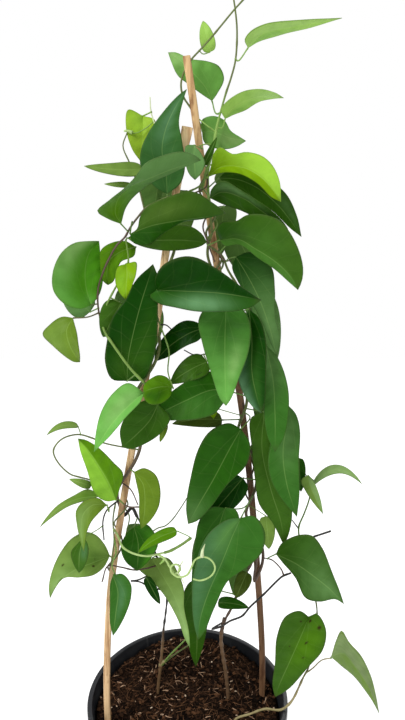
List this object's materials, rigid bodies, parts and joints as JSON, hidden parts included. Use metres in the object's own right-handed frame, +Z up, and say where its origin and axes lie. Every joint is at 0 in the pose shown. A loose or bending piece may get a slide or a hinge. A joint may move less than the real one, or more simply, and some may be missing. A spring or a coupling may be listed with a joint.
{
  "type": "potted climbing vine",
  "caption": "Potted tiliacora triandra: twining green vines with pointed leaves climbing bamboo stakes that stand in the soil of a round black nursery pot.",
  "frame": {"origin": "centre of the pot's flat underside", "axes": "+Z up along the pot's axis and the stakes, -Y towards the plant's front"},
  "size_m": [0.3285, 0.216, 0.8876],
  "materials": {
    "pot": "black moulded nursery pot plastic, faint sheen",
    "soil": "damp dark potting soil with coir fibres and pale bits",
    "stake_left": "split bamboo, pale tan, bare",
    "stake_right": "split bamboo, tan at the top, weathered brown below",
    "vine_left": "living leaves and stems, satin gloss",
    "vine_right": "living leaves and stems, satin gloss",
    "vine_trailing": "living leaves and stems, soft sage green"
  },
  "bodies": {
    "root": {"pot": "pot", "soil": "soil", "stake_left": "stake_left", "stake_right": "stake_right", "vine_left": "vine_left", "vine_right": "vine_right", "vine_trailing": "vine_trailing"}
  },
  "joints": []
}
